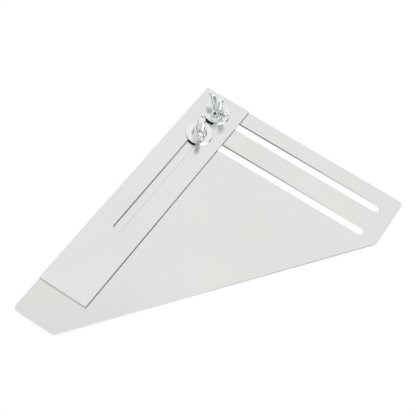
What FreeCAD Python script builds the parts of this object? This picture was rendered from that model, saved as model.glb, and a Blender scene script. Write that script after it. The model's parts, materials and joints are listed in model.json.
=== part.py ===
import FreeCAD, Part
import math
import os

# An angle finder: a thin steel base plate with two parallel slots, and a slotted steel arm lying
# on it. Two bolts come up through the base slots and the arm's slot, and a washer and a wing nut
# on each clamp the arm wherever the bolts have been slid to.
# Millimetres. X runs along the slots, Y up the long square edge to the square corner, Z upwards.
# The origin is under the middle of the base plate, level with the undersides of the bolt heads.

# Base plate
base_width = 228.0             # length of the square edge that the slots follow
base_height = 318.0            # length of the other square edge
base_thickness = 2.0
right_edge_length = 58.5       # short edge that squares off the right corner
foot_edge_length = 43.0        # short edge that squares off the lower corner
apex_radius = 1.0
square_corner_radius = 5.0
blunt_corner_radius = 2.5
first_slot_from_edge = 22.6    # square edge to the first slot's centre line
slot_pitch = 32.9              # first slot's centre line to the second's
slot_far_margin = 15.8         # slot tips to the right edge

# Arm
arm_length = 280.0
arm_width = 50.0
arm_thickness = 2.0
arm_corner_radius = 0.8
arm_slot_foot_margin = 81.3    # slot tip to the arm's lower end
arm_slot_spare = 2.1           # slot left beyond the first bolt, towards the square corner

# Bolts
thread_diameter = 8.0
shank_step = 0.4               # plain rolled shank below the thread, stepped in on the radius
bolt_length = 25.0             # under the head to the tip
bolt_point = 0.9               # chamfer at the tip
head_diameter = 20.0
head_height = 4.4
head_rim = 0.8                 # straight wall round the domed head
neck_corner_radius = 1.2
park_gap = 2.5                 # slot left behind a bolt when the arm is flush with the base

# Washers
washer_diameter = 27.0
washer_thickness = 1.6
washer_rim_radius = 0.3
washer_foot_radius = 0.45      # softer side of the punching, laid downwards

# Wing nuts
nut_foot_diameter = 15.6
nut_top_diameter = 12.6
nut_height = 7.4
nut_foot_break = 0.5
wing_root_out = 5.2            # nut's axis to the centre of the wing's root circle
wing_root_up = 4.5             # nut's foot to the same centre
wing_root_radius = 3.3
wing_tip_out = 12.7
wing_tip_up = 11.0
wing_tip_radius = 3.6
wing_thickness = 4.8
wing_round = 1.3               # rounding along the wings' outline
first_nut_angle = -28.7        # the way the wings point, in degrees from X
second_nut_angle = -62.0

# Clearances
slot_play = 1.0                # slot width over the thread diameter
neck_play = 0.2                # square neck to each side of its slot
neck_recess = 0.2              # square neck below the base plate's upper face
washer_play = 0.2              # washer bore to thread, on the radius
thread_fit = 0.05              # nut bore to thread, on the radius
edge_break = 0.2               # deburred edges of both plates
level_error = 0.001            # rise allowed in an edge that counts as level

slot_width = thread_diameter + slot_play
neck_width = slot_width - 2 * neck_play
neck_height = base_thickness - neck_recess
left = -base_width / 2
right = base_width / 2
top = base_height / 2
bottom = -base_height / 2
base_under = head_height
base_top = base_under + base_thickness
arm_top = base_top + arm_thickness
washer_top = arm_top + washer_thickness
bolt_x = left + arm_width / 2
first_bolt_y = top - first_slot_from_edge
second_bolt_y = first_bolt_y - slot_pitch


def point(x, y, z=0.0):
    return FreeCAD.Vector(x, y, z)


def rounded_face(corners):
    """Flat face through (x, y, radius) corners, each corner rounded by a tangent arc."""
    arcs = []
    for index, (x, y, radius) in enumerate(corners):
        corner = point(x, y)
        before = corners[index - 1]
        after = corners[(index + 1) % len(corners)]
        back = (point(before[0], before[1]) - corner).normalize()
        ahead = (point(after[0], after[1]) - corner).normalize()
        half_angle = back.getAngle(ahead) / 2
        inward = (back + ahead).normalize()
        setback = radius / math.tan(half_angle)
        crown = corner + inward * (radius / math.sin(half_angle) - radius)
        arcs.append((corner + back * setback, crown, corner + ahead * setback))
    edges = []
    for index, (start, crown, end) in enumerate(arcs):
        edges.append(Part.LineSegment(arcs[index - 1][2], start).toShape())
        edges.append(Part.Arc(start, crown, end).toShape())
    return Part.Face(Part.Wire(edges))


def slot_face(start, end, width):
    """Flat slot of the given width, its round ends centred on start and end."""
    along = (end - start).normalize() * (width / 2)
    across = point(-along.y, along.x)
    edges = [
        Part.LineSegment(start + across, end + across).toShape(),
        Part.Arc(end + across, end + along, end - across).toShape(),
        Part.LineSegment(end - across, start - across).toShape(),
        Part.Arc(start - across, start - along, start + across).toShape(),
    ]
    return Part.Face(Part.Wire(edges))


def level_edges(solid, height):
    """Edges of the solid that lie level at the given height."""
    low = height - level_error
    high = height + level_error
    return [edge for edge in solid.Edges if low < edge.BoundBox.ZMin and edge.BoundBox.ZMax < high]


def plate(outline, slots, under, thickness):
    """Sheet with slots cut through it and every edge of both faces broken."""
    rise = point(0, 0, thickness)
    solid = outline.extrude(rise)
    for slot in slots:
        solid = solid.cut(slot.extrude(rise))
    face_edges = level_edges(solid, 0) + level_edges(solid, thickness)
    solid = solid.makeChamfer(edge_break, face_edges)
    solid.translate(point(0, 0, under))
    return solid


def neck_stop():
    """How far a bolt's axis stays from a slot's end centre when its square neck touches."""
    corner_out = neck_width / 2 - neck_corner_radius
    reach = slot_width / 2 - neck_corner_radius
    return corner_out - math.sqrt(reach ** 2 - corner_out ** 2)


def base_slot(centre_line):
    start = bolt_x - neck_stop() - park_gap
    end = right - slot_far_margin - slot_width / 2
    return slot_face(point(start, centre_line), point(end, centre_line), slot_width)


def base_plate():
    outline = rounded_face([
        (left, top, apex_radius),
        (left, bottom, square_corner_radius),
        (left + foot_edge_length, bottom, blunt_corner_radius),
        (right, top - right_edge_length, blunt_corner_radius),
        (right, top, square_corner_radius),
    ])
    slots = [base_slot(first_bolt_y), base_slot(second_bolt_y)]
    return plate(outline, slots, base_under, base_thickness)


def arm():
    foot = top - arm_length
    outline = rounded_face([
        (left, top, arm_corner_radius),
        (left, foot, arm_corner_radius),
        (left + arm_width, foot, arm_corner_radius),
        (left + arm_width, top, arm_corner_radius),
    ])
    slot_start = point(bolt_x, first_bolt_y + arm_slot_spare)
    slot_end = point(bolt_x, foot + arm_slot_foot_margin + slot_width / 2)
    slot = slot_face(slot_start, slot_end, slot_width)
    return plate(outline, [slot], base_top, arm_thickness)


def turned(profile):
    """Solid of revolution about Z from a closed list of edges in the XZ plane."""
    return Part.Face(Part.Wire(profile)).revolve(point(0, 0), point(0, 0, 1), 360)


def chain(points):
    """Closed ring of straight edges through (radius, height) points."""
    ring = [point(radius, 0, height) for radius, height in points]
    return [Part.LineSegment(a, b).toShape() for a, b in zip(ring, ring[1:] + ring[:1])]


def bolt_head():
    radius = head_diameter / 2
    crown_height = head_height - head_rim
    sphere = (radius ** 2 + crown_height ** 2) / (2 * crown_height)
    half_turn = math.asin(radius / sphere) / 2
    on_crown = point(sphere * math.sin(half_turn), 0, sphere * (1 - math.cos(half_turn)))
    rim_low = point(radius, 0, crown_height)
    rim_high = point(radius, 0, head_height)
    axis_high = point(0, 0, head_height)
    return turned([
        Part.Arc(point(0, 0), on_crown, rim_low).toShape(),
        Part.LineSegment(rim_low, rim_high).toShape(),
        Part.LineSegment(rim_high, axis_high).toShape(),
        Part.LineSegment(axis_high, point(0, 0)).toShape(),
    ])


def bolt_neck():
    half = neck_width / 2
    square = rounded_face([
        (-half, -half, neck_corner_radius),
        (half, -half, neck_corner_radius),
        (half, half, neck_corner_radius),
        (-half, half, neck_corner_radius),
    ])
    square.translate(point(0, 0, base_under))
    return square.extrude(point(0, 0, neck_height))


def bolt_stud():
    """Plain shank up to the top of the arm, then the thread's outer cylinder."""
    thread = thread_diameter / 2
    shank = thread - shank_step
    tip = base_under + bolt_length
    return turned(chain([
        (0, base_under),
        (shank, base_under),
        (shank, arm_top),
        (thread, arm_top + shank_step),
        (thread, tip - bolt_point),
        (thread - bolt_point, tip),
        (0, tip),
    ]))


def bolt(x, y):
    solid = bolt_head().fuse([bolt_neck(), bolt_stud()]).removeSplitter()
    solid.translate(point(x, y))
    return solid


def washer(x, y):
    outer = washer_diameter / 2
    bore = thread_diameter / 2 + washer_play
    solid = Part.makeCylinder(outer, washer_thickness).cut(Part.makeCylinder(bore, washer_thickness))
    solid = solid.makeFillet(washer_rim_radius, level_edges(solid, washer_thickness))
    solid = solid.makeFillet(washer_foot_radius, level_edges(solid, 0))
    solid.translate(point(x, y, arm_top))
    return solid


def wing_outline():
    """Paddle round a root circle and a tip circle, joined by their outer tangents."""
    root = point(wing_root_out, 0, wing_root_up)
    tip = point(wing_tip_out, 0, wing_tip_up)
    reach = tip - root
    lean = math.atan2(reach.z, reach.x)
    spread = math.acos((wing_root_radius - wing_tip_radius) / reach.Length)

    def on_circle(centre, radius, angle):
        return centre + point(math.cos(angle), 0, math.sin(angle)) * radius

    root_low = on_circle(root, wing_root_radius, lean - spread)
    root_back = on_circle(root, wing_root_radius, lean + math.pi)
    root_high = on_circle(root, wing_root_radius, lean + spread)
    tip_low = on_circle(tip, wing_tip_radius, lean - spread)
    tip_out = on_circle(tip, wing_tip_radius, lean)
    tip_high = on_circle(tip, wing_tip_radius, lean + spread)
    return Part.Wire([
        Part.Arc(root_low, root_back, root_high).toShape(),
        Part.LineSegment(root_high, tip_high).toShape(),
        Part.Arc(tip_high, tip_out, tip_low).toShape(),
        Part.LineSegment(tip_low, root_low).toShape(),
    ])


def wing():
    """Wing towards +X with its outline rounded on both sides."""
    face = Part.Face(wing_outline())
    face.translate(point(0, -wing_thickness / 2, 0))
    solid = face.extrude(point(0, wing_thickness, 0))
    outline = [edge for edge in solid.Edges if edge.BoundBox.YLength < level_error]
    return solid.makeFillet(wing_round, outline)


def nut_body():
    foot = nut_foot_diameter / 2
    crown = nut_top_diameter / 2
    return turned(chain([
        (0, 0),
        (foot - nut_foot_break, 0),
        (foot, nut_foot_break),
        (crown, nut_height),
        (0, nut_height),
    ]))


def wing_nut(x, y, angle):
    right_wing = wing()
    left_wing = wing()
    left_wing.rotate(point(0, 0), point(0, 0, 1), 180)
    solid = nut_body().fuse([right_wing, left_wing]).removeSplitter()
    bore = thread_diameter / 2 + thread_fit
    solid = solid.cut(Part.makeCylinder(bore, wing_tip_up + wing_tip_radius))
    solid.rotate(point(0, 0), point(0, 0, 1), angle)
    solid.translate(point(x, y, washer_top))
    return solid


def main():
    os.makedirs("parts", exist_ok=True)
    pieces = {
        "base_plate": base_plate(),
        "arm": arm(),
        "upper_bolt": bolt(bolt_x, first_bolt_y),
        "lower_bolt": bolt(bolt_x, second_bolt_y),
        "upper_washer": washer(bolt_x, first_bolt_y),
        "lower_washer": washer(bolt_x, second_bolt_y),
        "upper_wing_nut": wing_nut(bolt_x, first_bolt_y, first_nut_angle),
        "lower_wing_nut": wing_nut(bolt_x, second_bolt_y, second_nut_angle),
    }
    for name, shape in pieces.items():
        shape.exportStep("parts/" + name + ".step")
        print(name, "solids", len(shape.Solids), "valid", shape.isValid(), "volume", round(shape.Volume, 1))


main()
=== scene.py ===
# %% [markdown]
# # An angle finder in sheet steel
#
# The real tool is two flat sheets held together by two clamps. The base plate has a square
# corner and two long slots. The arm lies on it and has a slot of its own. A bolt with a domed
# head comes up through both, and a washer and a wing nut hold the arm where it is set.
#
# The sheets, the sizes and the places come from a measured model, which is loaded first and is
# never changed. What such a model leaves out is added here: the screw threads, the forged shape
# of the wing nuts, and the finish of every surface.

# %% Load the measured model
import json
import math

import bpy
import numpy as np
from mathutils import Matrix, Vector


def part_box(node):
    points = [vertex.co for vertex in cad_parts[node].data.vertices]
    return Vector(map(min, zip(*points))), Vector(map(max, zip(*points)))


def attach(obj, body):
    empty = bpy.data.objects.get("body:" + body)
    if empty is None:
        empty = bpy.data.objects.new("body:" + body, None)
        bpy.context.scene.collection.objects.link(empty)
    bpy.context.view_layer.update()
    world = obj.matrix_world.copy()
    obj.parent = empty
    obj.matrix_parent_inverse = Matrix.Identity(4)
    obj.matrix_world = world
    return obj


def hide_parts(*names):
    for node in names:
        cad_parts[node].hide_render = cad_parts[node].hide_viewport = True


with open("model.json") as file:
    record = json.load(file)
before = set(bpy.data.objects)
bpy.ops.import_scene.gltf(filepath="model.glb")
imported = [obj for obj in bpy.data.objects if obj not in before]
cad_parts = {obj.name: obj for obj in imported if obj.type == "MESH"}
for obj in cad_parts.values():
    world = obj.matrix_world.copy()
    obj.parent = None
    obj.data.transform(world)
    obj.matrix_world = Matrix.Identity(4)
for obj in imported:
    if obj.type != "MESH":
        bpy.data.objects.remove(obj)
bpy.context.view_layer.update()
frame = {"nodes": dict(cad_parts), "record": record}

MM = 0.001

# %% [markdown]
# ## The camera
#
# A camera needs a place, a point to look at, a lens and a roll. Blender could aim it with a
# Track To constraint, but that always keeps the camera upright, and this one leans. So its turn
# is worked out from three directions at right angles: level, upright and back.

# %% The camera
camera_place = Vector((0.1807, -0.5558, 0.8903))
aim_point = Vector((-0.0352, 0.0353, 0.0064))
camera_roll = math.radians(14.82)
lens_length = 99.89
nearest_seen = 0.01


def looking_turn(place, target, roll):
    """Turn of a camera at place that looks at target: its back axis points away from the target,
    and its level axis is flat until both it and the upright axis are rolled about the back one."""
    back = (place - target).normalized()
    level = Vector((0, 0, 1)).cross(back).normalized()
    level = Matrix.Rotation(roll, 3, back) @ level
    return Matrix((level, back.cross(level), back)).transposed()


def make_camera():
    """Camera at its place, turned to the aim point and rolled."""
    lens = bpy.data.cameras.new("camera")
    lens.lens = lens_length
    lens.clip_start = nearest_seen
    camera = bpy.data.objects.new("camera", lens)
    turn = looking_turn(camera_place, aim_point, camera_roll)
    camera.matrix_world = Matrix.Translation(camera_place) @ turn.to_4x4()
    bpy.context.scene.collection.objects.link(camera)
    return camera


bpy.context.scene.camera = make_camera()
print("camera", round((camera_place - aim_point).length, 3), "m from what it looks at")

# %% [markdown]
# ## Building node trees in code
#
# A material is a tree of nodes joined by links. In the editor each is placed and wired by hand.
# In code the same three steps repeat: add a node, set its values, link its inputs. One helper
# does them all. A value that is another node's socket is linked, and anything else is set.

# %% A helper for nodes
def node(tree, kind, sockets=None, **settings):
    """Adds a shader node, sets its properties from settings, and fills its input sockets."""
    made = tree.nodes.new("ShaderNode" + kind)
    for name, value in settings.items():
        setattr(made, name, value)
    for name, value in (sockets or {}).items():
        if isinstance(value, bpy.types.NodeSocket):
            tree.links.new(value, made.inputs[name])
        else:
            made.inputs[name].default_value = value
    return made


def calc(tree, operation, first, second=0.0, clamp=False):
    """Output of one Math node."""
    sockets = {0: first, 1: second}
    return node(tree, "Math", sockets, operation=operation, use_clamp=clamp).outputs[0]


def remap(tree, value, low, high, to_low=0.0, to_high=1.0):
    """Output of a Map Range node with smooth ends: low becomes to_low and high becomes to_high."""
    sockets = {"Value": value, 1: low, 2: high, 3: to_low, 4: to_high}
    return node(tree, "MapRange", sockets, interpolation_type="SMOOTHSTEP").outputs[0]


def blend_colours(tree, mask, first, second, way="MIX"):
    """Output of a colour Mix node: first where the mask is 0, second where it is 1."""
    mix = node(tree, "Mix", {0: mask}, data_type="RGBA", blend_type=way)
    for socket, value in zip((mix.inputs[6], mix.inputs[7]), (first, second)):
        if isinstance(value, bpy.types.NodeSocket):
            tree.links.new(value, socket)
        else:
            socket.default_value = value
    return mix.outputs[2]


def grey(level):
    """Colour with the same red, green and blue."""
    return (level, level, level, 1.0)


# %% [markdown]
# ## A plain studio
#
# Bare metal has hardly any colour of its own: it shows what is around it. So the room matters
# more than the lamps. A dark room makes steel black, and a white tent all round makes it look
# like paper. A tent with a few dark gaps between its cloths gives both tones: the gaps draw the
# thin dark lines that show where a shiny part turns. That is how such parts are lit in a studio.
#
# The world is that room. Its tone depends only on the direction that a ray looks in, so the
# Generated coordinate, which for a world is that direction, goes through a few Map Range nodes.
# Each gap has a compass bearing, half a width, a foot and a top in degrees, and the tone seen
# through it. All but one reach the ground. The last hangs free: it stands for the camera, which
# shiny parts mirror as a dark spot. The camera itself sees plain white, and mirror rays see part
# of that white too.

# %% The world as a room
room_foot_tone = 0.9
room_foot_height = 0.5
white_in_mirrors = 0.1
ground = -90
dark_gaps = {
    "behind_left": (-70, 8, ground, 46, 0.08),
    "behind_right": (26, 16, ground, 70, 0.05),
    "left": (-104, 7, ground, 66, 0.1),
    "right": (80, 12, ground, 66, 0.08),
    "far_right": (58, 7, ground, 28, 0.1),
    "camera": (148, 12, 30, 60, 0.1),
}
side_softness = 0.25
end_softness = 6


def angle_step(tree, angle, outside, inside):
    """Mask of an angle in radians: 0 at outside and 1 at inside, which are in degrees."""
    return remap(tree, angle, math.radians(outside), math.radians(inside))


def studio_world():
    """World whose tone depends on the direction. A gap's mask is the product of three soft steps:
    near its bearing, below its top and above its foot. Where it is 1 the gap's tone shows."""
    world = bpy.data.worlds.new("studio")
    bpy.context.scene.world = world
    world.use_nodes = True
    tree = world.node_tree
    tree.nodes.clear()
    direction = node(tree, "TexCoord").outputs["Generated"]
    axes = node(tree, "SeparateXYZ", {0: direction}).outputs
    compass = calc(tree, "ARCTAN2", axes["X"], axes["Y"])
    climb = calc(tree, "ARCSINE", axes["Z"])
    room = remap(tree, axes["Z"], 0.0, room_foot_height, room_foot_tone, 1.0)
    for around, half_width, foot, top, tone in dark_gaps.values():
        off = calc(tree, "ABSOLUTE", calc(tree, "SUBTRACT", compass, math.radians(around)))
        outer, inner = half_width * (1 + side_softness), half_width * (1 - side_softness)
        near = angle_step(tree, off, outer, inner)
        below = angle_step(tree, climb, top + end_softness, top - end_softness)
        above = angle_step(tree, climb, foot - end_softness, foot + end_softness)
        gap = calc(tree, "MULTIPLY", calc(tree, "MULTIPLY", near, below), above)
        room = node(tree, "Mix", {0: gap, 2: room, 3: tone}).outputs[0]
    path = node(tree, "LightPath").outputs
    plain = calc(tree, "ADD", path["Is Camera Ray"], path["Is Transmission Ray"])
    mirrored = calc(tree, "MULTIPLY", path["Is Glossy Ray"], white_in_mirrors)
    white = calc(tree, "ADD", plain, mirrored, clamp=True)
    seen = blend_colours(tree, white, room, grey(1.0))
    background = node(tree, "Background", {"Color": seen, "Strength": 1.0})
    node(tree, "OutputWorld", {"Surface": background.outputs[0]})


studio_world()
print("world made, with", len(dark_gaps), "dark gaps in the tent")

# %% [markdown]
# ## The floor and the soft boxes
#
# The floor is one large pale sheet of card. Painted white and lit like the rest it would come
# out light grey. So most of what the camera sees of it is a plain white glow, and the rest is
# the card as the light finds it, which keeps the soft shadow under the tool.
#
# Two soft boxes hang high on the right. The square one draws a bright crescent on the front of
# each washer's rim and gives the shadow a direction. The narrow one draws a bright line down each
# thread. A soft box is an area lamp: its size sets how soft the light is, and its power over its
# area sets how bright it looks. Both hang high, so that flat steel seen from the side doesn't
# mirror them.

# %% The floor
floor_half_side = 4.0
card_colour = (0.93, 0.93, 0.92, 1.0)
glow_tone = 1.02
glow_for_camera = 0.93
glow_in_mirrors = 0.5


def floor_material():
    """White card that glows for the camera, and in part for mirrors."""
    material = bpy.data.materials.new("pale_card")
    material.use_nodes = True
    tree = material.node_tree
    tree.nodes.clear()
    path = node(tree, "LightPath")
    seen = calc(tree, "MULTIPLY", path.outputs["Is Camera Ray"], glow_for_camera)
    through = calc(tree, "MULTIPLY", path.outputs["Is Transmission Ray"], glow_for_camera)
    mirrored = calc(tree, "MULTIPLY", path.outputs["Is Glossy Ray"], glow_in_mirrors)
    share = calc(tree, "ADD", calc(tree, "ADD", seen, through), mirrored, clamp=True)
    card = node(tree, "BsdfDiffuse", {"Color": card_colour})
    glow = node(tree, "Emission", {"Color": grey(1.0), "Strength": glow_tone})
    mix = node(tree, "MixShader", {0: share, 1: card.outputs[0], 2: glow.outputs[0]})
    node(tree, "OutputMaterial", {"Surface": mix.outputs[0]})
    return material


def make_floor():
    """One square sheet at the height of the ground."""
    side = floor_half_side
    corners = [(-side, -side, 0), (side, -side, 0), (side, side, 0), (-side, side, 0)]
    mesh = bpy.data.meshes.new("floor")
    mesh.from_pydata(corners, [], [(0, 1, 2, 3)])
    mesh.materials.append(floor_material())
    floor = bpy.data.objects.new("floor", mesh)
    bpy.context.scene.collection.objects.link(floor)


make_floor()
print("floor made,", 2 * floor_half_side, "m wide")

# %% The soft boxes
soft_box_distance = 1.5
soft_boxes = {
    "square_soft_box": {"compass": 100, "climb": 60, "wide": 0.7, "high": 0.6, "tone": 1.7},
    "narrow_soft_box": {"compass": 64, "climb": 54, "wide": 0.35, "high": 0.8, "tone": 2.5},
}


def make_soft_box(name, compass, climb, wide, high, tone):
    """Rectangular lamp that faces the origin. Its power is its tone times pi times its area."""
    lamp = bpy.data.lights.new(name, "AREA")
    lamp.shape = "RECTANGLE"
    lamp.size = wide
    lamp.size_y = high
    lamp.energy = tone * math.pi * wide * high
    flat = math.cos(math.radians(climb))
    place = soft_box_distance * Vector((
        flat * math.sin(math.radians(compass)),
        flat * math.cos(math.radians(compass)),
        math.sin(math.radians(climb)),
    ))
    holder = bpy.data.objects.new(name, lamp)
    turn = looking_turn(place, Vector((0, 0, 0)), 0.0)
    holder.matrix_world = Matrix.Translation(place) @ turn.to_4x4()
    bpy.context.scene.collection.objects.link(holder)


for name, shape in soft_boxes.items():
    make_soft_box(name, **shape)
bpy.context.scene.view_settings.view_transform = "Standard"
print(len(soft_boxes), "soft boxes hung", soft_box_distance, "m away")

# %% [markdown]
# ## From a grid of points to a mesh
#
# Every new piece of hardware is round about the bolt's axis, so each is one closed surface made
# of two parameters: a row number that walks along the piece's section, and a column number that
# walks round the axis. NumPy works out all the points as one array, rows by columns by 3.
#
# The faces only depend on the numbering. Rolling the index array by one gives each point's
# neighbour, and the last column meets the first with no seam.

# %% Grid to mesh
def surface(name, points, ring=False):
    """Closed mesh from a grid of points in metres. Columns run anticlockwise round the axis. If
    ring is set the last row meets the first, and otherwise the end rows close on their middles."""
    rows, columns = points.shape[:2]
    index = np.arange(rows * columns).reshape(rows, columns)
    lower = index if ring else index[:-1]
    upper = np.roll(index, -1, 0) if ring else index[1:]
    corners = [lower, np.roll(lower, -1, 1), np.roll(upper, -1, 1), upper]
    faces = np.stack(corners, -1).reshape(-1, 4).tolist()
    places = points.reshape(-1, 3).tolist()
    if not ring:
        first, last = index[0], index[-1]
        foot, crown = len(places), len(places) + 1
        places += [points[0].mean(0).tolist(), points[-1].mean(0).tolist()]
        faces += [(foot, b, a) for a, b in zip(first.tolist(), np.roll(first, -1).tolist())]
        faces += [(crown, a, b) for a, b in zip(last.tolist(), np.roll(last, -1).tolist())]
    mesh = bpy.data.meshes.new(name)
    mesh.from_pydata(places, [], faces)
    mesh.shade_smooth()
    piece = bpy.data.objects.new(name, mesh)
    bpy.context.scene.collection.objects.link(piece)
    print(name, len(faces), "faces")
    return piece


# %% Helpers for shapes
def smooth(value, low, high):
    """Rises from 0 at low to 1 at high with level ends: 3 t squared less 2 t cubed."""
    share = np.clip((value - low) / (high - low), 0, 1)
    return share * share * (3 - 2 * share)


def turned(radius, height, angles):
    """Points in millimetres at each radius and height, which are rows by columns, and angle."""
    return np.stack([radius * np.cos(angles), radius * np.sin(angles), height], -1)


corner_points = 9


def walk(corners, spacing):
    """Closed line through (radius, height, rounding) corners in millimetres. A rounded corner is
    a quadratic curve tangent to both sides: with t from 0 to 1, its start by (1 - t) squared, its
    corner by 2 t (1 - t) and its end by t squared. The straights are cut up evenly."""
    corners = np.array(corners, float)
    spots = corners[:, :2]
    back = np.roll(spots, 1, 0) - spots
    ahead = np.roll(spots, -1, 0) - spots
    back /= np.linalg.norm(back, axis=1, keepdims=True)
    ahead /= np.linalg.norm(ahead, axis=1, keepdims=True)
    bend = np.linspace(0, 1, corner_points)[:, None, None]
    starts = spots + back * corners[:, 2:]
    ends = spots + ahead * corners[:, 2:]
    curves = (1 - bend) ** 2 * starts + 2 * bend * (1 - bend) * spots + bend ** 2 * ends
    line = curves.transpose(1, 0, 2).reshape(-1, 2)
    line = np.vstack([line, line[:1]])
    steps = np.linalg.norm(np.diff(line, axis=0), axis=1)
    along = np.concatenate([[0], np.cumsum(steps)])
    extra = np.arange(0, along[-1], spacing)
    places = np.unique(np.round(np.concatenate([along[:-1], extra]), 4))
    return np.stack([np.interp(places, along, line[:, axis]) for axis in (0, 1)], -1)


# %% [markdown]
# ## Where each clamp stands
#
# The measured model says where every piece is. The bolt's axis is the middle of its box, and
# the heights of the sheets and washers are the tops and bottoms of theirs. The way a wing nut
# points is the direction in which its corners spread furthest.

# %% Places read from the model
def height_of(name):
    """Lowest and highest point of a part, in millimetres."""
    low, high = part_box(name)
    return low.z / MM, high.z / MM


def axis_of(name):
    """Middle of a part's box seen from above, in metres."""
    low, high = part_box(name)
    return (low.x + high.x) / 2, (low.y + high.y) / 2


def spread_angle(name):
    """Direction of the widest spread of a part's points, seen from above: the angle of the
    covariance's main axis, half the arc tangent of twice the mixed term over the difference."""
    mesh = frame["nodes"][name].data
    spots = np.empty(len(mesh.vertices) * 3)
    mesh.vertices.foreach_get("co", spots)
    spread = np.cov(spots.reshape(-1, 3)[:, :2].T)
    return 0.5 * math.atan2(2 * spread[0, 1], spread[0, 0] - spread[1, 1])


head_under = height_of("base_plate")[0]
sheet_top = height_of("base_plate")[1]
arm_top = height_of("arm")[1]
washer_top = height_of("upper_washer")[1]
bolt_tip = height_of("upper_bolt")[1]
head_radius = (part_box("upper_bolt")[1].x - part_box("upper_bolt")[0].x) / 2 / MM
washer_radius = (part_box("upper_washer")[1].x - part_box("upper_washer")[0].x) / 2 / MM
print("bolt stands", round(bolt_tip - washer_top, 1), "mm above its washer")

# %% [markdown]
# ## The bolts
#
# The head is a shallow dome that lies under the base plate. Above it a short square neck fits
# the slot and stops the bolt turning. Then comes a plain shank, and a rolled M8 thread to the
# tip. A screw thread could be made with the Screw modifier, but its ends need cutting by hand.
#
# Here the whole bolt is one grid. Each point's radius comes from its height and its angle. A
# thread is a groove whose place along the axis moves up by one pitch for each turn, so the
# groove's phase is the height over the pitch less the angle over a full turn. That makes it
# right-handed. The point's chamfer is a cone, and the smaller of the two radii wins.

# %% The thread
thread_radius = 4.0
thread_pitch = 1.25
thread_depth = 0.767
crest_half_width = thread_pitch / 16
root_half_width = thread_pitch / 8
flank_roundness = 0.3


def thread_groove(height, angle):
    """Depth cut into the thread's outer cylinder: nothing on the crest, the full depth at the
    root, and a flank between, by the axial distance from the nearest crest. The flank is part
    straight and part an S curve, which rounds its foot."""
    phase = height / thread_pitch - angle / (2 * math.pi)
    from_crest = np.abs(phase - np.round(phase)) * thread_pitch
    root_edge = thread_pitch / 2 - root_half_width
    flank = np.clip((from_crest - crest_half_width) / (root_edge - crest_half_width), 0, 1)
    return thread_depth * ((1 - flank_roundness) * flank + flank_roundness * smooth(flank, 0, 1))


print("thread groove", thread_depth, "mm deep, one turn every", thread_pitch, "mm")

# %% The bolt's section
head_crown = 3.6
head_edge = 0.3
head_side_start = head_crown + 0.1
dome_inset = 0.4 * head_edge
dome_start = 0.02
neck_half = 4.3
neck_top = sheet_top - 0.2
neck_corner_room = 1.6
neck_straight_end = neck_top - 0.2
neck_chamfer_heights = np.array([neck_top - 0.05, neck_top, neck_top])
neck_chamfer_radii = np.array([4.2, 4.0, 3.75])
shank_radius = 3.6
point_drop = 0.22
section_rows = {"dome": 26, "rim": 7, "side": 4, "flat": 8, "neck": 8, "shank": 10}
rows_per_pitch = 24


def bolt_section():
    """Height and plain radius of each row, from under the head up to the end of the thread. The
    dome is part of a sphere whose radius is the head's radius squared plus the crown squared,
    over twice the crown."""
    dome = (head_radius ** 2 + head_crown ** 2) / (2 * head_crown)
    swing = np.linspace(dome_start, 1, section_rows["dome"])
    swing = swing * math.asin((head_radius - dome_inset) / dome)
    rim = np.linspace(0, math.pi / 2, section_rows["rim"])
    side = np.linspace(head_side_start, head_under - head_edge, section_rows["side"])
    flat_inner = neck_half + neck_corner_room
    flat = np.linspace(head_radius - head_edge, flat_inner, section_rows["flat"])
    neck = np.linspace(head_under, neck_straight_end, section_rows["neck"])
    shank = np.linspace(neck_top, arm_top, section_rows["shank"])
    parts = [
        (dome * (1 - np.cos(swing)), dome * np.sin(swing)),
        (side, np.full(len(side), head_radius)),
        (head_under - head_edge * (1 - np.sin(rim)), head_radius - head_edge * (1 - np.cos(rim))),
        (np.full(len(flat), head_under), flat),
        (neck, np.full(len(neck), neck_half)),
        (neck_chamfer_heights, neck_chamfer_radii),
        (shank, np.full(len(shank), shank_radius)),
    ]
    step = thread_pitch / rows_per_pitch
    thread = np.arange(arm_top + step, bolt_tip - point_drop, step)
    parts.append((thread, np.full(len(thread), shank_radius)))
    heights = np.concatenate([height for height, radius in parts])
    radii = np.concatenate([radius for height, radius in parts])
    return heights, radii


print("bolt's section has", len(bolt_section()[0]), "rows")

# %% The bolt's grid
neck_power = 9.0
thread_fade = 1.6
point_radius = 3.1
end_shares = np.linspace(1, 0.04, 14)
bolt_columns = 84


def bolt_grid():
    """The bolt about the Z axis, in millimetres. The neck's radius is a superellipse, half its
    width over the ninth root of the sum of the ninth powers of sine and cosine. The thread's is
    its outer radius less the groove, faded in from the shank and kept inside the point's cone.
    The end is a low dome, whose drop grows with the square of the distance from the axis."""
    angles = np.linspace(0, 2 * math.pi, bolt_columns, endpoint=False)[None, :]
    heights, radii = bolt_section()
    heights = heights[:, None] + 0 * angles
    radii = radii[:, None] + 0 * angles
    power = np.abs(np.cos(angles)) ** neck_power + np.abs(np.sin(angles)) ** neck_power
    in_neck = (heights >= head_under) & (heights <= neck_top)
    in_neck = in_neck & (radii > shank_radius) & (radii <= neck_half)
    radii = np.where(in_neck, radii / power ** (1 / neck_power), radii)
    fade = smooth(heights, arm_top, arm_top + thread_fade)
    threaded = thread_radius - thread_groove(heights, angles)
    radii = np.where(heights > arm_top, radii + (threaded - radii) * fade, radii)
    cone = point_radius + bolt_tip - point_drop - heights
    radii = np.minimum(radii, np.maximum(cone, point_radius))
    end_radius = end_shares[:, None] * point_radius + 0 * angles
    end_height = bolt_tip - point_drop * (end_radius / point_radius) ** 2
    return turned(np.vstack([radii, end_radius]), np.vstack([heights, end_height]), angles)


def bolt(name, stands_for):
    """The bolt's grid, stood on the axis of the part that it stands for."""
    x, y = axis_of(stands_for)
    return surface(name, bolt_grid() * MM + np.array([x, y, 0]))


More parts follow.
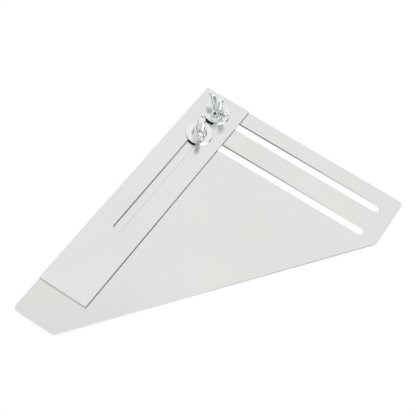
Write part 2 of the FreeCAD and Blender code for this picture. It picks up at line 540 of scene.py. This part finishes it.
# %% [markdown]
# ## The washers
#
# A washer is punched out of sheet. The punch leaves one face with a softly rounded rim and the
# other with a sharper one. Here the soft side lies downwards. A Cylinder with a Bevel modifier
# would do, but a section turned about the axis gives each edge its own rounding. The upper face
# sinks by a few hundredths of a millimetre between rim and bore, as a punched washer's does.

# %% The washer
washer_bore = 4.2
air_under_washer = 0.01
lower_rim_rounding = 0.45
upper_rim_rounding = 0.28
upper_bore_rounding = 0.2
section_spacing = 0.3
face_sink = 0.05
washer_columns = 160


def washer(name, stands_for):
    """Ring whose section is a rounded oblong turned about the axis. Its upper face sinks most on
    its middle line, and less with the square of the distance from that line. A little air under
    the washer keeps its face and the arm's from lying in one plane."""
    low, high = height_of(stands_for)
    low += air_under_washer
    section = walk([
        (washer_bore, low, lower_rim_rounding),
        (washer_radius, low, lower_rim_rounding),
        (washer_radius, high, upper_rim_rounding),
        (washer_bore, high, upper_bore_rounding),
    ], section_spacing)
    radius = section[:, :1]
    height = section[:, 1:]
    middle = (washer_radius + washer_bore) / 2
    across = np.clip(1 - ((radius - middle) / (middle - washer_bore)) ** 2, 0, 1)
    height = height - face_sink * across * smooth(height, (low + high) / 2, high)
    angles = np.linspace(0, 2 * math.pi, washer_columns, endpoint=False)[None, :]
    x, y = axis_of(stands_for)
    points = turned(radius + 0 * angles, height + 0 * angles, angles)
    return surface(name, points * MM + np.array([x, y, 0]), ring=True)


print("washers", round(2 * washer_radius, 1), "mm across, bore", 2 * washer_bore, "mm")

# %% [markdown]
# ## The wing nuts
#
# A wing nut is forged: hot metal is pressed between two dies, so its wings run into its hub in
# smooth hollows and each wing has a raised rim round a shallow thumb hollow. Subdivision
# modelling can make it, by pulling two wings out of a cylinder. Here it is described by numbers.
#
# A distance function says how far a point is outside the metal. It is easy to write for a cone,
# a flat paddle and a bore, and a smooth minimum of two of them joins them with a fillet. To turn
# it into a surface, rays start from a circle inside the nut's wall and go out in all directions
# of each half plane through the axis. Where the distance is zero is the skin. One parameter goes
# round the axis and the other round the wall's section, so the grid is a ring with no poles.

# %% The nut's measures
hub_foot_radius = 7.7
hub_top_radius = 6.3
hub_height = 7.4
hub_rounding = 0.6
bore_radius = 4.05
bore_chamfer = 0.7
wing_root = np.array([5.2, 4.5])
wing_tip = np.array([12.7, 11.0])
root_radius = 3.3
tip_radius = 3.6
wing_half_thickness = 2.35
wing_edge_rounding = 1.2
fillet = 1.5
hollow_depth = 0.9
hollow_rim = 1.25
hollow_edge = (0.75 * hollow_rim, 1.7 * hollow_rim)
hollow_start = (0.25, 0.6)
seam_height = 0.07
seam_reach = 0.22
bore_edge_rounding = 0.15
print("wings reach", round(2 * (wing_tip[0] + tip_radius), 1), "mm from tip to tip")


# %% Joining two distances
def soft_min(first, second, reach):
    """The smaller of two distances, lowered by up to a quarter of reach where they are alike."""
    share = np.clip(0.5 + 0.5 * (second - first) / reach, 0, 1)
    return second + (first - second) * share - reach * share * (1 - share)


def soft_max(first, second, reach):
    """The larger of two distances, raised where they are alike, which rounds an outer edge."""
    return -soft_min(-first, -second, reach)


# %% The nut's distance function
def hub_distance(radius, height):
    """Distance to a cone cut off by two flat faces."""
    slope = (hub_foot_radius - hub_top_radius) / hub_height
    side = (radius - hub_foot_radius + slope * height) / math.hypot(1, slope)
    faces = np.maximum(height - hub_height, -height)
    return soft_max(side, faces, hub_rounding)


def wing_distance(x, y, height):
    """Distance to both wings. Seen from the side a wing is every point within a radius of the
    line from root to tip, and a fine seam runs round its edge where the two dies met. Across, it
    is as thick as the rim, less where the hollow is. The two distances are joined as the sides
    of a rounded edge."""
    along = wing_tip - wing_root
    dx = np.abs(x) - wing_root[0]
    dz = height - wing_root[1]
    share = np.clip((dx * along[0] + dz * along[1]) / (along @ along), 0, 1)
    gap = np.hypot(dx - share * along[0], dz - share * along[1])
    outline = gap - (root_radius + share * (tip_radius - root_radius))
    outline = outline - seam_height * np.exp(-(y / seam_reach) ** 2)
    inside = smooth(-outline, *hollow_edge) * smooth(share, *hollow_start)
    flat = np.abs(y) - wing_half_thickness + hollow_depth * inside
    out = outline + wing_edge_rounding
    over = flat + wing_edge_rounding
    corner = np.hypot(np.maximum(out, 0), np.maximum(over, 0))
    return corner + np.minimum(np.maximum(out, over), 0) - wing_edge_rounding


def nut_distance(radius, height, angle):
    """Distance to the nut: hub and wings joined by a fillet, less the bore and its chamfers."""
    x = radius * np.cos(angle)
    y = radius * np.sin(angle)
    metal = soft_min(hub_distance(radius, height), wing_distance(x, y, height), fillet)
    opening = np.maximum(height - (hub_height - bore_chamfer), bore_chamfer - height)
    bore = bore_radius + np.clip(opening, 0, bore_chamfer) - radius
    return soft_max(metal, bore, bore_edge_rounding)


print("wall round the bore is", round(hub_top_radius - bore_radius, 2), "mm thick at its top")

# %% The nut's columns
end_columns = 11
flank_columns = 40
hub_columns = 26
flank_end = hub_top_radius - 0.8


def nut_angles():
    """Angles of the columns. They follow the nut's plan: across a wing's end, along its side,
    then round the hub, so that the wings get as many columns as they need."""
    reach = wing_tip[0] + tip_radius
    side = wing_half_thickness
    end = np.arctan2(np.linspace(0, side, end_columns), reach)
    flank = np.arctan2(side, np.linspace(reach, flank_end, flank_columns))[1:]
    hub = np.linspace(flank[-1], math.pi / 2, hub_columns)[1:]
    quarter = np.concatenate([end, flank, hub])
    half = np.concatenate([quarter, math.pi - quarter[-2::-1]])
    return np.concatenate([half, math.pi + half[1:-1]])


print("nut has", len(nut_angles()), "columns")

# %% The nut's grid
core_radius = 5.4
core_height = 3.7
farthest = 14.0
rays = 720
nut_rows = 170
halvings = 26


def nut_grid():
    """The nut about the Z axis, in millimetres. The skin along each ray is found by halving: a
    step outwards is kept while the point is still in the metal. The points of each column are
    then spread evenly along its section."""
    angles = nut_angles()[None, :]
    lean = (math.pi + np.linspace(0, 2 * math.pi, rays, endpoint=False))[:, None]
    reached = np.zeros((rays, angles.shape[1]))
    step = farthest / 2
    for _ in range(halvings):
        trial = reached + step
        radius = core_radius + trial * np.cos(lean)
        height = core_height + trial * np.sin(lean)
        inside = (nut_distance(radius, height, angles) < 0) & (radius > 0)
        reached = np.where(inside, trial, reached)
        step /= 2
    radius = core_radius + reached * np.cos(lean)
    height = core_height + reached * np.sin(lean)
    radius = np.vstack([radius, radius[:1]])
    height = np.vstack([height, height[:1]])
    steps = np.hypot(np.diff(radius, axis=0), np.diff(height, axis=0))
    along = np.vstack([np.zeros(angles.shape[1]), np.cumsum(steps, 0)])
    shares = np.linspace(0, 1, nut_rows, endpoint=False)
    rows = np.empty((2, nut_rows, angles.shape[1]))
    for column in range(angles.shape[1]):
        wanted = shares * along[-1, column]
        rows[0, :, column] = np.interp(wanted, along[:, column], radius[:, column])
        rows[1, :, column] = np.interp(wanted, along[:, column], height[:, column])
    return rows[0], rows[1], angles


def wing_nut(name, stands_for):
    """The nut's grid, turned as the part that it stands for and set on its washer."""
    x, y = axis_of(stands_for)
    radius, height, angles = nut_grid()
    points = turned(radius, height + washer_top, angles + spread_angle(stands_for))
    return surface(name, points * MM + np.array([x, y, 0]), ring=True)


# %% Make the hardware
sides = ("upper", "lower")
bolts = {side: bolt(side + "_threaded_bolt", side + "_bolt") for side in sides}
washers = {side: washer(side + "_punched_washer", side + "_washer") for side in sides}
nuts = {side: wing_nut(side + "_forged_wing_nut", side + "_wing_nut") for side in sides}

# %% [markdown]
# ## Effects that several finishes share
#
# A shader node group works like a function: it is built once, has named inputs, and each
# material places it with its own values. Three are needed. The first is the fine grain that the
# rolls leave on sheet. The second is hairline scratches. The third is the slow unevenness that
# every real surface has, from handling and from the plating bath.

# %% Shader node groups
def new_group(name, inputs, outputs):
    """Node group with float inputs, given as a dictionary of defaults, and float outputs."""
    tree = bpy.data.node_groups.new(name, "ShaderNodeTree")
    tree.interface.new_socket("Vector", in_out="INPUT", socket_type="NodeSocketVector")
    for label, value in inputs.items():
        socket = tree.interface.new_socket(label, in_out="INPUT", socket_type="NodeSocketFloat")
        socket.default_value = value
    for label in outputs:
        tree.interface.new_socket(label, in_out="OUTPUT", socket_type="NodeSocketFloat")
    start = tree.nodes.new("NodeGroupInput")
    end = tree.nodes.new("NodeGroupOutput")
    return tree, start.outputs, end.inputs


def place_group(tree, group, sockets):
    """Adds a group node to a material and fills its inputs."""
    made = tree.nodes.new("ShaderNodeGroup")
    made.node_tree = group
    for name, value in sockets.items():
        if isinstance(value, bpy.types.NodeSocket):
            tree.links.new(value, made.inputs[name])
        else:
            made.inputs[name].default_value = value
    return made.outputs


def noise(tree, vector, scale, detail=2.0, roughness=0.5):
    """Output of one Noise Texture node."""
    sockets = {"Vector": vector, "Scale": scale, "Detail": detail, "Roughness": roughness}
    return node(tree, "TexNoise", sockets).outputs[0]


# %% The three shared effects
grain_stretch = (1.0, 0.02, 1.0)
hairline_stretch = (1.0, 0.06, 1.0)
scratched_patches = (0.5, 0.62)
patch_scale_ratio = 0.4
gloss_scale_ratio = 2.7


def rolled_grain_group():
    """Noise drawn out along the rolling direction, which is Y, so that it makes lines."""
    tree, given, result = new_group("rolled_grain", {"Lines per metre": 4000.0}, ["Grain"])
    drawn = node(tree, "Mapping", {"Vector": given["Vector"], "Scale": grain_stretch})
    fine = noise(tree, drawn.outputs[0], given["Lines per metre"], detail=3.0, roughness=0.6)
    tree.links.new(fine, result["Grain"])
    return tree


def hairline_group():
    """Hairlines: where drawn-out noise crosses its middle value it makes long thin lines. A line's
    strength is 1 less the distance from that value over the width. Patches leave some out."""
    inputs = {"Scale": 60.0, "Width": 0.012, "Turn": 0.0}
    tree, given, result = new_group("hairlines", inputs, ["Lines"])
    turned_way = node(tree, "VectorRotate", {"Vector": given["Vector"], "Angle": given["Turn"]})
    drawn = node(tree, "Mapping", {"Vector": turned_way.outputs[0], "Scale": hairline_stretch})
    field = noise(tree, drawn.outputs[0], given["Scale"], detail=1.0, roughness=0.4)
    off_middle = calc(tree, "ABSOLUTE", calc(tree, "SUBTRACT", field, 0.5))
    from_line = calc(tree, "DIVIDE", off_middle, given["Width"])
    line = calc(tree, "SUBTRACT", 1.0, from_line, clamp=True)
    patch_scale = calc(tree, "MULTIPLY", given["Scale"], patch_scale_ratio)
    patches = noise(tree, given["Vector"], patch_scale, detail=1.0)
    strength = calc(tree, "MULTIPLY", line, remap(tree, patches, *scratched_patches))
    tree.links.new(strength, result["Lines"])
    return tree


def unevenness_group():
    """Slow clouds for tone and a finer set for gloss, both from 0 to 1."""
    tree, given, result = new_group("unevenness", {"Scale": 12.0}, ["Tone", "Gloss"])
    clouds = noise(tree, given["Vector"], given["Scale"], detail=3.0)
    tree.links.new(clouds, result["Tone"])
    finer = calc(tree, "MULTIPLY", given["Scale"], gloss_scale_ratio)
    mottle = noise(tree, given["Vector"], finer, detail=4.0, roughness=0.6)
    tree.links.new(mottle, result["Gloss"])
    return tree


rolled_grain = rolled_grain_group()
hairlines = hairline_group()
unevenness = unevenness_group()
print("groups:", ", ".join(group.name for group in bpy.data.node_groups))

# %% [markdown]
# ## The sheet steel
#
# Both sheets are cut from cold rolled steel with a fine satin skin. It is a mirror that has been
# dulled a little: close things, such as a washer's rim, still show in it as a crisp image, and
# far ones only as a soft glow. So Metallic is 1 and Roughness is low but not zero.
#
# The cut edges look different from the faces. The laser leaves fine upright lines, and the walls
# get a painted shade: a dark colour that stands in for the shade in the slots and on walls that
# face away from the light. The face's normal tells them apart: on a face its Z is 1, on a cut wall
# it is 0. How dark the painted shade is changes along the cut, and masks made from X and Y say
# where. In the base's slots it is darkest at the square corner and fades along a slant, so that the
# slot nearer the middle clears first. On the long sloping edge it is darkest at the other end. On
# the arm the long cuts are darker than the ends, most of all near the foot, and the normal's X
# makes the mask. There the slots' mask covers only the arm's own slot.

# %% Where the cuts are
openings = frame["record"]["physics"]["openings"]
slots = [row["box_m"] for row in openings if "base_slot" in row["name"]]
beside_slots = 1 * MM
beyond_slots = 5 * MM
slot_band = (
    min(low[1] for low, high in slots) - beside_slots,
    max(high[1] for low, high in slots) + beside_slots,
)
slots_end = max(high[0] for low, high in slots) + beyond_slots
print("slots lie from", round(slot_band[0] / MM), "to", round(slot_band[1] / MM), "mm along Y")

# %% Where the painted shade lies on the cut walls
shade_start = -0.105
arm_shade_end = -0.08
slot_shade_fade_span = (-0.155, 0.008)
slot_shade_fade_slant = 0.82
slope_end = 0.1
slope_fade = 0.004
slope_shade_span = (-0.05, 0.08)
slope_shade_most = 0.42
side_shade_span = (-0.08, 0.15)
sideways_span = (0.3, 0.7)
mask_softness = 0.002


def within(tree, value, low, high):
    """Mask that is 1 from low to high and 0 beyond, with soft ends."""
    above = remap(tree, value, low - mask_softness, low)
    below = remap(tree, value, high + mask_softness, high)
    return calc(tree, "MULTIPLY", above, below)


def painted_shade_mask(tree, spot, normal, shade_end, side_shade):
    """How much painted shade shows on the cut walls, from 0 to 1: the largest of three masks. In
    the slots it falls with X less a share of Y, on the slope it rises with X, and on walls that
    face along X it falls from the given side share at the foot to nothing."""
    along_slots = within(tree, spot["X"], shade_start, shade_end)
    in_slots = calc(tree, "MULTIPLY", along_slots, within(tree, spot["Y"], *slot_band))
    slanted = calc(tree, "SUBTRACT", spot["X"], calc(tree, "MULTIPLY", spot["Y"], slot_shade_fade_slant))
    slot_shade = calc(tree, "MULTIPLY", in_slots, remap(tree, slanted, *slot_shade_fade_span, 1.0, 0.0))
    on_slope = remap(tree, spot["Y"], slope_end, slope_end - slope_fade)
    rising = remap(tree, spot["X"], *slope_shade_span, 0.0, slope_shade_most)
    slope_shade = calc(tree, "MULTIPLY", on_slope, rising)
    sideways = remap(tree, calc(tree, "ABSOLUTE", normal["X"]), *sideways_span)
    falling = remap(tree, spot["Y"], *side_shade_span, side_shade, 0.0)
    on_sides = calc(tree, "MULTIPLY", sideways, falling)
    return calc(tree, "MAXIMUM", calc(tree, "MAXIMUM", slot_shade, slope_shade), on_sides)


# %% The sheet's own tone
noise_span = (0.3, 0.7)
warm_span = (0.4, 0.6)
cloud_tones = (0.985, 1.01)
grain_tones = (0.99, 1.01)
foot_span = (-0.16, -0.02)


def face_colour(tree, spot, grain, clouds, colour, warm_colour, foot_tone):
    """Colour of the faces: warm patches in a grey, times clouds, grain and a darker foot."""
    tone = remap(tree, clouds["Tone"], *noise_span, *cloud_tones)
    fine_tone = remap(tree, grain, *noise_span, *grain_tones)
    lengthways = remap(tree, spot["Y"], *foot_span, foot_tone, 1.0)
    shade = calc(tree, "MULTIPLY", calc(tree, "MULTIPLY", tone, fine_tone), lengthways)
    warm = remap(tree, clouds["Gloss"], *warm_span)
    greys = blend_colours(tree, warm, colour, warm_colour)
    return blend_colours(tree, 1.0, greys, shade, "MULTIPLY")


# %% The sheet material
upright_span = (0.75, 0.95)
sheet_cloud_scale = 9.0
sheet_scratches = {"Scale": 45.0, "Turn": 0.5}
sheet_roughness = (0.17, 0.21)
scratch_roughness = 0.06
cut_roughness = 0.4
cut_line_scale = 3500.0
cut_line_stretch = (1.0, 1.0, 0.01)
grain_share = 0.15
sheet_bump = {"Strength": 0.2, "Distance": 0.02 * MM}
# Painted shade: the dark colour that the cut walls take where they stand in shade.
painted_shade_wall = (0.25, 0.25, 0.24, 1)


def finished_material(name):
    """New material with a Principled shader, and its tree, shader and coordinates."""
    material = bpy.data.materials.new(name)
    material.use_nodes = True
    tree = material.node_tree
    tree.nodes.clear()
    shader = node(tree, "BsdfPrincipled")
    node(tree, "OutputMaterial", {"Surface": shader.outputs[0]})
    coordinates = node(tree, "TexCoord").outputs
    return material, tree, shader, coordinates


def sheet_material(name, colour, warm_colour, wall_colour, shade_end, side_shade, foot_tone):
    """Rolled steel with cut walls. The wall mask falls from 1 to 0 as the normal turns upright."""
    material, tree, shader, coordinates = finished_material(name)
    place = coordinates["Object"]
    spot = node(tree, "SeparateXYZ", {0: place}).outputs
    normal = node(tree, "SeparateXYZ", {0: coordinates["Normal"]}).outputs
    upright = calc(tree, "ABSOLUTE", normal["Z"])
    wall = remap(tree, upright, *upright_span, 1.0, 0.0)
    grain = place_group(tree, rolled_grain, {"Vector": place})["Grain"]
    clouds = place_group(tree, unevenness, {"Vector": place, "Scale": sheet_cloud_scale})
    scratches = place_group(tree, hairlines, {"Vector": place, **sheet_scratches})["Lines"]
    face = face_colour(tree, spot, grain, clouds, colour, warm_colour, foot_tone)
    wall_shade = painted_shade_mask(tree, spot, normal, shade_end, side_shade)
    # The cut walls darken towards the painted shade colour where the mask says.
    cut = blend_colours(tree, wall_shade, wall_colour, painted_shade_wall)
    tree.links.new(blend_colours(tree, wall, face, cut), shader.inputs["Base Color"])
    shader.inputs["Metallic"].default_value = 1.0
    dull = remap(tree, clouds["Gloss"], *noise_span, *sheet_roughness)
    scratched = calc(tree, "ADD", dull, calc(tree, "MULTIPLY", scratches, scratch_roughness))
    rough = node(tree, "Mix", {0: wall, 2: scratched, 3: cut_roughness}).outputs[0]
    tree.links.new(rough, shader.inputs["Roughness"])
    drawn = node(tree, "Mapping", {"Vector": place, "Scale": cut_line_stretch}).outputs[0]
    cut_lines = calc(tree, "MULTIPLY", noise(tree, drawn, cut_line_scale), wall)
    height = calc(tree, "ADD", calc(tree, "MULTIPLY", grain, grain_share), cut_lines)
    bump = node(tree, "Bump", {"Height": height, **sheet_bump})
    tree.links.new(bump.outputs[0], shader.inputs["Normal"])
    return material


# %% [markdown]
# ## The zinc plate
#
# Bolts, washers and nuts are steel with bright zinc plating. Zinc is bluer and shinier than the
# sheets. Its shape under the plating still shows: a forged nut is a little lumpy, and a punched
# washer is a little wavy, which bends the reflections. The bump's distance sets how much.

# %% The zinc material
cool_span = (0.35, 0.65)
zinc_cloud_scale = 150.0
zinc_scratches = {"Scale": 400.0, "Turn": 0.9}
zinc_roughness = (0.09, 0.18)
zinc_scratch_roughness = 0.15
lump_strength = 0.6


def zinc_material(name, colour, cool_colour, lump_scale, lump_height):
    """Bright plating with cooler clouds, over steel with lumps of the given scale and height."""
    material, tree, shader, coordinates = finished_material(name)
    place = coordinates["Object"]
    clouds = place_group(tree, unevenness, {"Vector": place, "Scale": zinc_cloud_scale})
    scratches = place_group(tree, hairlines, {"Vector": place, **zinc_scratches})["Lines"]
    cool = remap(tree, clouds["Tone"], *cool_span)
    shade = blend_colours(tree, cool, colour, cool_colour)
    tree.links.new(shade, shader.inputs["Base Color"])
    shader.inputs["Metallic"].default_value = 1.0
    dull = remap(tree, clouds["Gloss"], *noise_span, *zinc_roughness)
    rough = calc(tree, "ADD", dull, calc(tree, "MULTIPLY", scratches, zinc_scratch_roughness))
    tree.links.new(rough, shader.inputs["Roughness"])
    lumps = noise(tree, place, lump_scale, roughness=0.4)
    sockets = {"Height": lumps, "Strength": lump_strength, "Distance": lump_height}
    tree.links.new(node(tree, "Bump", sockets).outputs[0], shader.inputs["Normal"])
    return material


# %% The colours of the steel and the zinc
arm_grey = (0.765, 0.78, 0.765, 1)
arm_wall = (0.76, 0.77, 0.74, 1)
base_grey = (0.757, 0.775, 0.754, 1)
base_warm_grey = (0.772, 0.77, 0.75, 1)
# The base's cut walls are painted lighter than its faces: painted light that lifts walls which
# mirror the shaded floor under the sheet.
base_wall_painted_light = (0.9, 0.9, 0.88, 1)
bright = (0.86, 0.87, 0.86, 1)
bluish = (0.77, 0.84, 0.83, 1)
pressed_grey = (0.83, 0.84, 0.83, 1)
faint_blue = (0.81, 0.835, 0.83, 1)

# The arm's walls that face along X get painted shade, strongest at the foot.
arm_steel = sheet_material(
    "arm_steel", arm_grey, arm_grey, arm_wall,
    shade_end=arm_shade_end, side_shade=0.88, foot_tone=1.0,
)
base_steel = sheet_material(
    "base_steel", base_grey, base_warm_grey, base_wall_painted_light,
    shade_end=slots_end, side_shade=0.0, foot_tone=0.94,
)
thread_zinc = zinc_material(
    "thread_zinc", bright, bluish, lump_scale=700.0, lump_height=0.02 * MM,
)
washer_zinc = zinc_material(
    "washer_zinc", pressed_grey, faint_blue, lump_scale=160.0, lump_height=0.06 * MM,
)
forged_zinc = zinc_material(
    "forged_zinc", bright, faint_blue, lump_scale=350.0, lump_height=0.2 * MM,
)
print("materials:", ", ".join(material.name for material in bpy.data.materials))


# %% Give the sheets their finish
def dress(piece, material):
    """Makes material the only one of a piece."""
    piece.data.materials.clear()
    piece.data.materials.append(material)


dress(frame["nodes"]["arm"], arm_steel)
dress(frame["nodes"]["base_plate"], base_steel)
print("sheets dressed")

# %% [markdown]
# ## Tie the new pieces to the moving parts
#
# The measured model knows which parts move together. Each new piece takes the place of one of
# its parts and rides on the same body, so it slides, swings and turns as that part does.

# %% Ride, replace and dress
clamp_bodies = {"upper": "upper_clamp", "lower": "lower_clamp"}
washer_bodies = {"upper": "swing_pivot", "lower": "lower_clamp"}
nut_bodies = {"upper": "upper_nut", "lower": "lower_nut"}
for side in sides:
    for piece, body, part, material in (
        (bolts[side], clamp_bodies[side], side + "_bolt", thread_zinc),
        (washers[side], washer_bodies[side], side + "_washer", washer_zinc),
        (nuts[side], nut_bodies[side], side + "_wing_nut", forged_zinc),
    ):
        dress(piece, material)
        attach(piece, body)
        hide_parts(part)
        print(piece.name, "rides on", body)
